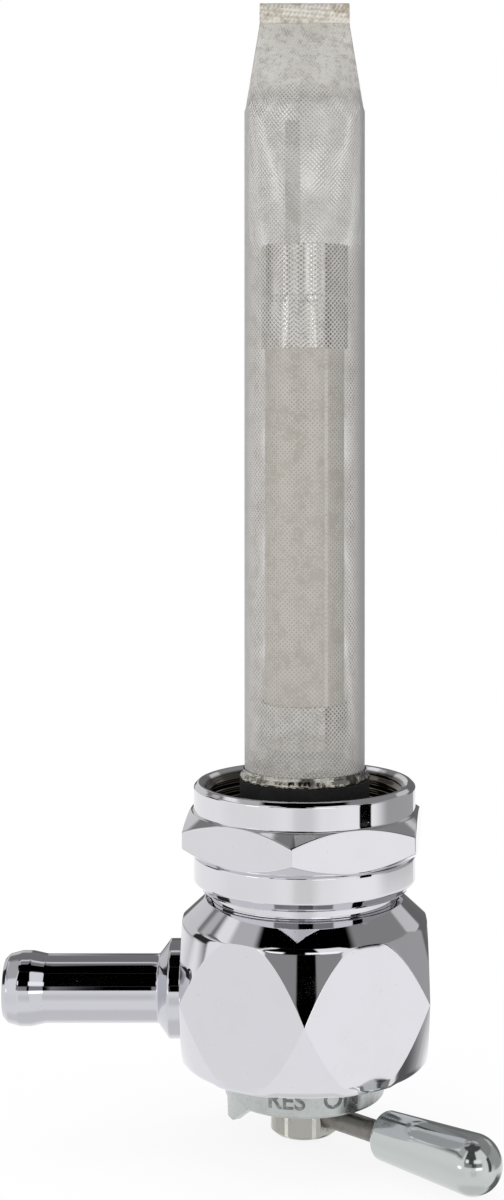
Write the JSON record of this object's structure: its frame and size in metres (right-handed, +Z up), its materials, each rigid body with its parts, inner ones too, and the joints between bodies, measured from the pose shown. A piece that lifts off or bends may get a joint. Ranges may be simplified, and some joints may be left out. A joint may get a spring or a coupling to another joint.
{
  "type": "fuel tap",
  "caption": "Motorcycle fuel tap with a hexagonal body, union nut for the tank, side hose spigot, turning reserve lever and a tall gauze strainer around a standpipe.",
  "frame": {"origin": "centre of the coupling nut's mouth, on the axis of the tank thread", "axes": "+Z up along the tank thread and the strainer, out of the nut's mouth; -X along the hose spigot"},
  "size_m": [0.0539, 0.0349, 0.1262],
  "materials": {
    "body_chrome": "polished plating",
    "nut_chrome": "polished plating",
    "spigot_chrome": "polished plating",
    "knob_chrome": "polished plating",
    "gauze": "fine woven wire",
    "solder": "rough soldered",
    "ferrule_steel": "pressed sheet",
    "standpipe_brass": "drawn tube",
    "tip_nickel": "turned and plated",
    "socket_nickel": "turned and plated",
    "stem_steel": "turned",
    "rod_steel": "drawn rod",
    "dial_satin": "satin plating",
    "spring_steel": "hardened",
    "black_rubber": "moulded",
    "fibre": "pressed fibre"
  },
  "bodies": {
    "housing": {"valve_body": "body_chrome", "tank_gasket": "black_rubber", "strainer_mesh": "gauze", "strainer_solder": "solder", "strainer_ferrule": "ferrule_steel", "standpipe": "standpipe_brass", "standpipe_tip": "tip_nickel", "standpipe_socket": "socket_nickel", "socket_washer": "fibre", "outlet_spigot": "spigot_chrome", "spigot_washer": "fibre", "port_seal": "black_rubber", "disc_spring": "spring_steel", "thrust_washer": "spring_steel", "dial_collar": "dial_satin"},
    "nut": {"coupling_nut": "nut_chrome"},
    "lever": {"valve_rotor": "stem_steel", "rotor_ring_upper": "black_rubber", "rotor_ring_lower": "black_rubber", "detent_ball": "spring_steel", "detent_spring": "spring_steel", "lever_rod": "rod_steel", "lever_knob": "knob_chrome"}
  },
  "joints": [
    {"name": "nut_turn", "type": "hinge", "parent": "housing", "child": "nut", "pos_m": [0, 0, -0.00585], "axis": [0, 0, 1], "continuous": true},
    {"name": "lever_turn", "type": "hinge", "parent": "housing", "child": "lever", "pos_m": [0, 0, -0.03655], "axis": [0, 0, 1], "range_deg": [-82, 227]}
  ]
}
